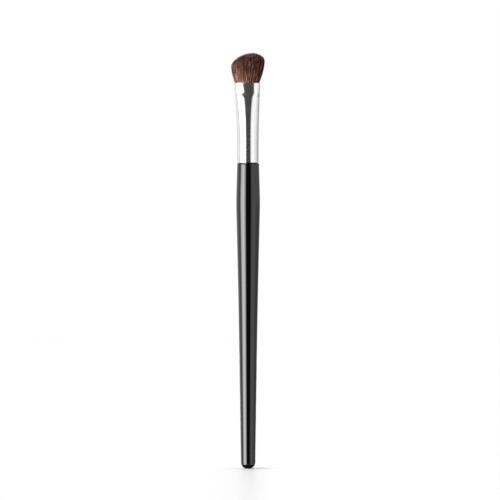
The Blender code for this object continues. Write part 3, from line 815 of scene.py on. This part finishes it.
class Tuft:
    """The places, tips and colours of all the hairs, which gather in wisps and the wisps in locks."""

    def __init__(self):
        random = np.random.default_rng(HAIR_SEED)
        count = HAIR_COUNT
        self.u, self.v, self.radius = spread_places(count, HAIR_JITTER, random)
        self.locks = self.centres(random, **LOCKS)
        self.wisps = self.centres(random, **WISPS)
        lift = random.normal(0, LOCK_LIFT, LOCKS["count"])[self.locks["index"]]
        stray = random.random(count) < STRAY_SHARE
        self.lean = random.normal(0, HAIR_LEAN, (2, count))
        self.lean[0] = np.where(stray, random.normal(0, STRAY_LEAN, count), self.lean[0])
        self.thickness = HAIR_RADIUS * random.uniform(*THICKNESS_RANGE, count)
        lightness = HAIR_CONTRAST * bounded(random, count) + np.where(stray, STRAY_LIGHTNESS, 0.0)
        self.tone = np.exp(lightness)
        self.warmth = HAIR_WARMTH * bounded(random, count)
        end_u, end_v = self.shares(np.arange(count), np.ones(count))
        self.tip = crown_height(end_u, end_v) + lift - np.abs(random.normal(0, TRIM_SPREAD, count))

    def centres(self, random, count, pull, jitter, wave, contrast):
        """Gathering points: where they are, how strongly they pull, how they wave and how light each is."""
        centre_u, centre_v, _ = spread_places(count, jitter, random)
        index = nearest(self.u, self.v, centre_u, centre_v)
        return {
            "index": index,
            "u": centre_u[index],
            "v": centre_v[index],
            "pull": (pull * random.uniform(*PULL_RANGE, count))[index],
            "wave": (wave * random.normal(0, 1, (2, count)))[:, index],
            "phase": random.uniform(0, 2 * math.pi, (3, count))[:, index],
            "rate": random.uniform(*WAVE_RATES, (3, count))[:, index],
            "tone": np.exp(contrast * bounded(random, count))[index],
            "sheen_ripple": (contrast * random.uniform(*SHEEN_RIPPLE_RANGE, count))[index],
            "warmth": (WISP_WARMTH * contrast * bounded(random, count))[index],
        }

    def shares(self, pick, share):
        """The (u, v) of the picked hairs; share is how far along its free length each is."""
        u = self.u[pick] + self.lean[0, pick] * share**LEAN_POWER
        v = self.v[pick] + self.lean[1, pick] * share**LEAN_POWER
        for group in (self.locks, self.wisps):
            pull = group["pull"][pick] * share**PULL_POWER
            u = u + (group["u"][pick] - self.u[pick]) * pull
            v = v + (group["v"][pick] - self.v[pick]) * pull
            phase = group["phase"][:, pick]
            swing = np.sin(phase[:2] + group["rate"][:2, pick] * share) - np.sin(phase[:2])
            u = u + group["wave"][0, pick] * swing[0] * np.sqrt(share)
            v = v + group["wave"][1, pick] * swing[1] * np.sqrt(share)
        trim = 1.0 / np.maximum(np.hypot(u, v), 1.0)
        return u * trim, v * trim

    def place(self, pick, share, height):
        """Where the picked hairs are at their own heights."""
        u, v = self.shares(pick, share)
        centre, half_width, half_depth, twist = field(height)
        x, y = twisted(u * half_width, v * half_depth, twist)
        return centre + x, y

    def colour(self, pick, share):
        """Paler at the roots on the short side, darker towards the long side and the tips. Most of this is
        painted light: the darkness towards the long side, at the long side's foot and over the crown is
        painted shade, the lighter middle of the body, foot and mouth is painted highlight, the pale roots
        are partly the hair's own colour and partly painted light, and the waves of tone along the wisps are
        painted sheen.
        """
        u = self.u[pick]
        foot = 1 - climb(share, 0.0, FOOT_REACH)
        # Painted shade towards the long side, and a painted highlight over the middle.
        body_tone = BODY_TONE[0] + BODY_TONE[1] * u + scaled(hump, BODY_PAINTED_HIGHLIGHT_HUMP, u)
        # Painted highlight over the middle of the foot.
        foot_tone = FOOT_TONE[0] + FOOT_TONE[1] * u + scaled(hump, FOOT_PAINTED_HIGHLIGHT_HUMP, u)
        # Painted shade at the foot on the long side.
        foot_tone = foot_tone - scaled(climb, FOOT_PAINTED_SHADE, u)
        # Painted highlight just over the mouth.
        at_mouth = 1 - climb(share, 0.0, MOUTH_HUMP_REACH)
        foot_tone = foot_tone * (1 + at_mouth * scaled(hump, MOUTH_PAINTED_HIGHLIGHT_HUMP, u))
        # Painted shade over the crown.
        tip_painted_shade = (TIP_PAINTED_SHADE + scaled(hump, TIP_PAINTED_SHADE_HUMP, u)) * climb(share, *TIP_SPAN)
        tone = self.tone[pick] * (body_tone + (foot_tone - body_tone) * foot) * (1 - tip_painted_shade)
        for group in (self.locks, self.wisps):
            # Painted sheen waving along each lock and wisp, on top of its own random tone.
            swing = np.sin(group["phase"][2, pick] + SHEEN_RIPPLE_RATE * group["rate"][2, pick] * share)
            sheen_ripple = np.maximum(1 + group["sheen_ripple"][pick] * swing, DARKEST_SHEEN_RIPPLE)
            tone = tone * group["tone"][pick] * sheen_ripple
        tone = np.minimum(tone, BRIGHTEST_HAIR)
        # Partly the roots' own paleness, partly painted light on the short side.
        pale_share = foot * scaled(climb, PALE_ROOTS_AND_PAINTED_LIGHT, u)
        warmth = self.warmth[pick] + self.wisps["warmth"][pick] - scaled(climb, COOL_TIPS, share)
        warmth = warmth + scaled(climb, WARM_LONG_SIDE, u) * (1 - climb(share, *WARM_SPAN))
        columns = []
        for shade, pale, power, shift in zip(HAIR_COLOUR, PALE_COLOUR, TONE_POWERS, WARMTH_SHIFTS):
            columns.append((shade + (pale - shade) * pale_share) * tone**power * (1 - shift * warmth))
        columns[1] = columns[1] * (1 + scaled(climb, GREEN_SHORT_SIDE, u) * (1 - foot))
        return np.column_stack([*columns, np.ones(len(pick))])


def hair_points(tuft, pick, shares):
    """Points and colours of the picked hairs: a ring at the root, one at each share and a tip."""
    count = len(pick)
    lost, taper_start, taper_power = TAPER
    roots = (np.zeros(count), np.full(count, KNOT_TOP - HAIR_SINK))
    rings = [roots]
    for share in shares:
        rings.append((np.full(count, share), MOUTH_HEIGHT + (tuft.tip[pick] - MOUTH_HEIGHT) * share))
    points = []
    colours = []
    for share, height in rings:
        x, y = tuft.place(pick, share, height)
        taper = np.clip((share - taper_start) / (1 - taper_start), 0, 1) ** taper_power
        radius = tuft.thickness[pick] * (1 - lost * taper)
        outward = np.arctan2(y, x)
        colour = tuft.colour(pick, share)
        for side in range(HAIR_SIDES):
            turn = outward + 2 * math.pi * side / HAIR_SIDES
            points.append(np.column_stack([x + radius * np.cos(turn), y + radius * np.sin(turn), height]))
            colours.append(colour)
    height = tuft.tip[pick]
    x, y = tuft.place(pick, np.ones(count), height)
    points.append(np.column_stack([x, y, height]))
    colours.append(tuft.colour(pick, np.ones(count)))
    return np.stack(points, axis=1).reshape(-1, 3), np.stack(colours, axis=1).reshape(-1, 4)


def hair_faces(ring_count):
    """Faces of one hair, and where the corners of each lie in the hair's own square of the UV map."""
    faces = []
    corners = []
    for ring in range(ring_count - 1):
        low = ring * HAIR_SIDES
        for side in range(HAIR_SIDES):
            after = (side + 1) % HAIR_SIDES
            faces.append((low + side, low + after, low + HAIR_SIDES + after, low + HAIR_SIDES + side))
            corners.append(((side, ring), (side + 1, ring), (side + 1, ring + 1), (side, ring + 1)))
    last = ring_count - 1
    for side in range(HAIR_SIDES):
        low = last * HAIR_SIDES
        faces.append((low + side, low + (side + 1) % HAIR_SIDES, low + HAIR_SIDES))
        corners.append(((side, last), (side + 1, last), (side + 0.5, ring_count)))
    room = 1 - 2 * UV_MARGIN
    layout = []
    for corner in corners:
        spots = []
        for a, b in corner:
            spots.append((UV_MARGIN + room * a / HAIR_SIDES, UV_MARGIN + room * b / ring_count))
        layout.append(spots)
    return faces, layout


def make_lock(name, tuft, chosen, material, nodes):
    """One mesh of the chosen hairs: more rings on those near the outside, fewer inside."""
    outer = chosen[tuft.radius[chosen] > INNER_SHARE]
    inner = chosen[tuft.radius[chosen] <= INNER_SHARE]
    cells = math.ceil(math.sqrt(len(chosen)))
    points = []
    colours = []
    faces = []
    uvs = []
    first = 0
    index = 0
    for pick, shares in ((outer, OUTER_RINGS), (inner, INNER_RINGS)):
        hair_point, hair_colour = hair_points(tuft, pick, shares)
        points.append(hair_point)
        colours.append(hair_colour)
        hair_face, layout = hair_faces(len(shares) + 1)
        size = len(hair_point) // len(pick)
        for _ in pick:
            column = index % cells
            row = index // cells
            for face, corner in zip(hair_face, layout):
                faces.append(tuple(first + i for i in face))
                uvs.extend(((column + a) / cells, (row + b) / cells) for a, b in corner)
            first += size
            index += 1
    points = np.concatenate(points).tolist()
    lock = add_piece(name, points, faces, material, sharp_edges=False)
    colour = lock.data.color_attributes.new("hair_colour", "FLOAT_COLOR", "POINT")
    colour.data.foreach_set("color", np.concatenate(colours).astype(np.float32).ravel())
    layer = lock.data.uv_layers.new(name="OFBake")
    layer.data.foreach_set("uv", np.array(uvs, np.float32).ravel())
    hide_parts(*nodes)


def make_tuft(material):
    tuft = Tuft()
    third = np.digitize(tuft.v, np.quantile(tuft.v, [1 / 3, 2 / 3]))
    for index, name in enumerate(("hair_front", "hair_middle", "hair_back")):
        nodes = (f"hair_layer_{2 * index + 1}", f"hair_layer_{2 * index + 2}")
        make_lock(name, tuft, np.flatnonzero(third == index), material, nodes)


# Studio


def by_azimuth(nodes, turn, stops):
    return nodes.ramp(turn, [((degrees + 180) / 360, value) for degrees, value in stops])


def make_world():
    """A pale room for light and reflections, and plain white for the camera.

    There is a dark gap behind the camera, a tall soft box on its left and another high over that, and a
    white wall behind the brush. Low down, the wall on the right turns darker.
    """
    world = bpy.data.worlds.new("studio")
    bpy.context.scene.world = world
    world.use_nodes = True
    nodes = Nodes(world.node_tree)
    nodes.tree.nodes.clear()
    direction = nodes.add("ShaderNodeTexCoord").outputs["Generated"]
    split = nodes.add("ShaderNodeSeparateXYZ", Vector=direction)
    rise = split.outputs["Z"]
    azimuth = nodes.math("ARCTAN2", split.outputs["X"], nodes.product(split.outputs["Y"], -1.0))
    turn = nodes.math("ADD", nodes.math("DIVIDE", azimuth, 2 * math.pi), 0.5)
    room = by_azimuth(nodes, turn, ROOM_STOPS)
    low_room = nodes.product(room, by_azimuth(nodes, turn, LOW_WALL_STOPS))
    walls = nodes.blend(room, low_room, nodes.smooth_step(rise, *LOW_WALL_EDGE))
    ceiling = by_azimuth(nodes, turn, CEILING_STOPS)
    walls = nodes.blend(walls, ceiling, nodes.smooth_step(rise, *CEILING_EDGE))
    walls = nodes.blend(walls, FLOOR_GLOW, nodes.smooth_step(rise, *FLOOR_GLOW_EDGE))
    height = nodes.product(nodes.smooth_step(rise, *KEY_FOOT), nodes.smooth_step(rise, *KEY_TOP))
    key_light = nodes.product(by_azimuth(nodes, turn, KEY_STOPS), height, KEY_LIGHT)
    lift = nodes.smooth_step(rise, *FRONT_FOOT)
    front_light = nodes.product(by_azimuth(nodes, turn, FRONT_STOPS), lift, FRONT_LIGHT)
    light = nodes.math("ADD", nodes.math("ADD", walls, key_light), front_light)
    studio = nodes.add("ShaderNodeBackground", Color=WHITE, Strength=light)
    white = nodes.add("ShaderNodeBackground", Color=WHITE, Strength=1.0)
    camera_ray = nodes.add("ShaderNodeLightPath").outputs["Is Camera Ray"]
    seen = nodes.joined("ShaderNodeMixShader", studio, white, Fac=camera_ray)
    nodes.output("ShaderNodeOutputWorld", seen)


def make_floor():
    """A white, faintly glossy table that keeps the brush's shadow and a soft reflection of it.

    The shadow is full round the tail, where painted shade deepens it by taking the white fill away. On the
    long side painted light fades it, and further off the table is lifted to white. Reflections look through
    it to the studio, apart from a dim spot of painted shade that the tail stands on.
    """
    material = bpy.data.materials.new("pale_table")
    material.use_nodes = True
    nodes = Nodes(material.node_tree)
    nodes.tree.nodes.clear()
    place = nodes.add("ShaderNodeTexCoord").outputs["Object"]
    length = nodes.add("ShaderNodeVectorMath", {"operation": "LENGTH"})
    nodes.plug(length, "0", place)
    reach = length.outputs["Value"]
    across = nodes.add("ShaderNodeSeparateXYZ", Vector=place).outputs["X"]
    rays = nodes.add("ShaderNodeLightPath").outputs
    # On the long side the camera sees a flat level of the lit table in place of its diffuse shading,
    # painted light that hides the shadow there.
    fade = nodes.product(rays["Is Camera Ray"], nodes.smooth_step(across, *PAINTED_LIGHT_SIDE_FADE), SIDE_FADE_SHARE)
    diffuse = nodes.add("ShaderNodeBsdfDiffuse", Color=FLOOR_COLOUR)
    unshaded = nodes.add("ShaderNodeEmission", Color=WHITE, Strength=FLOOR_LEVEL)
    surface = nodes.joined("ShaderNodeMixShader", diffuse, unshaded, Fac=fade)
    gloss = nodes.add("ShaderNodeBsdfGlossy", Color=WHITE, Roughness=FLOOR_ROUGHNESS)
    surface = nodes.joined("ShaderNodeMixShader", surface, gloss, Fac=FLOOR_GLOSS)
    # The white fill is taken away round the tail, painted shade that deepens the contact shadow.
    strength = nodes.product(rays["Is Camera Ray"], nodes.smooth_step(reach, *PAINTED_CONTACT_SHADE_EDGE), FLOOR_FILL)
    fill = nodes.add("ShaderNodeEmission", Color=WHITE, Strength=strength)
    surface = nodes.joined("ShaderNodeAddShader", surface, fill)
    # Reflections see a dim spot round the tail, painted shade for the table under it; elsewhere they look
    # through the table.
    clear = nodes.add("ShaderNodeBsdfTransparent")
    spot = nodes.add("ShaderNodeEmission", Color=WHITE, Strength=PAINTED_SHADE_SPOT_LEVEL)
    reflected = nodes.joined("ShaderNodeMixShader", clear, spot, Fac=nodes.smooth_step(reach, *PAINTED_SHADE_SPOT_EDGE))
    seen = nodes.joined("ShaderNodeMixShader", surface, reflected, Fac=rays["Is Glossy Ray"])
    nodes.output("ShaderNodeOutputMaterial", seen)
    mesh = bpy.data.meshes.new("table_top")
    half = FLOOR_HALF_SIZE
    corners = [(-half, -half, 0), (half, -half, 0), (half, half, 0), (-half, half, 0)]
    mesh.from_pydata(corners, [], [(0, 1, 2, 3)])
    mesh.materials.append(material)
    floor = bpy.data.objects.new("table_top", mesh)
    bpy.context.scene.collection.objects.link(floor)


def make_camera():
    data = bpy.data.cameras.new("camera")
    camera = bpy.data.objects.new("camera", data)
    bpy.context.scene.collection.objects.link(camera)
    data.sensor_width = SENSOR_WIDTH
    data.lens = SENSOR_WIDTH * CAMERA_DISTANCE / VIEW_WIDTH
    data.clip_end = FARTHEST
    camera.location = (CAMERA_SIDE, -CAMERA_DISTANCE, CAMERA_HEIGHT)
    camera.rotation_euler = (math.pi / 2, 0, 0)
    bpy.context.scene.camera = camera


bpy.context.scene.view_settings.view_transform = "Standard"
make_camera()
make_world()
make_floor()

make_handle(lacquer_material())
make_ferrule(chrome_material())
make_knot(knot_material())
make_thread(thread_material())
make_tuft(hair_material())
for node, material in (("resin_plug", resin_material()), ("tenon_adhesive", glue_material())):
    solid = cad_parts[node]
    solid.data.materials.clear()
    solid.data.materials.append(material)
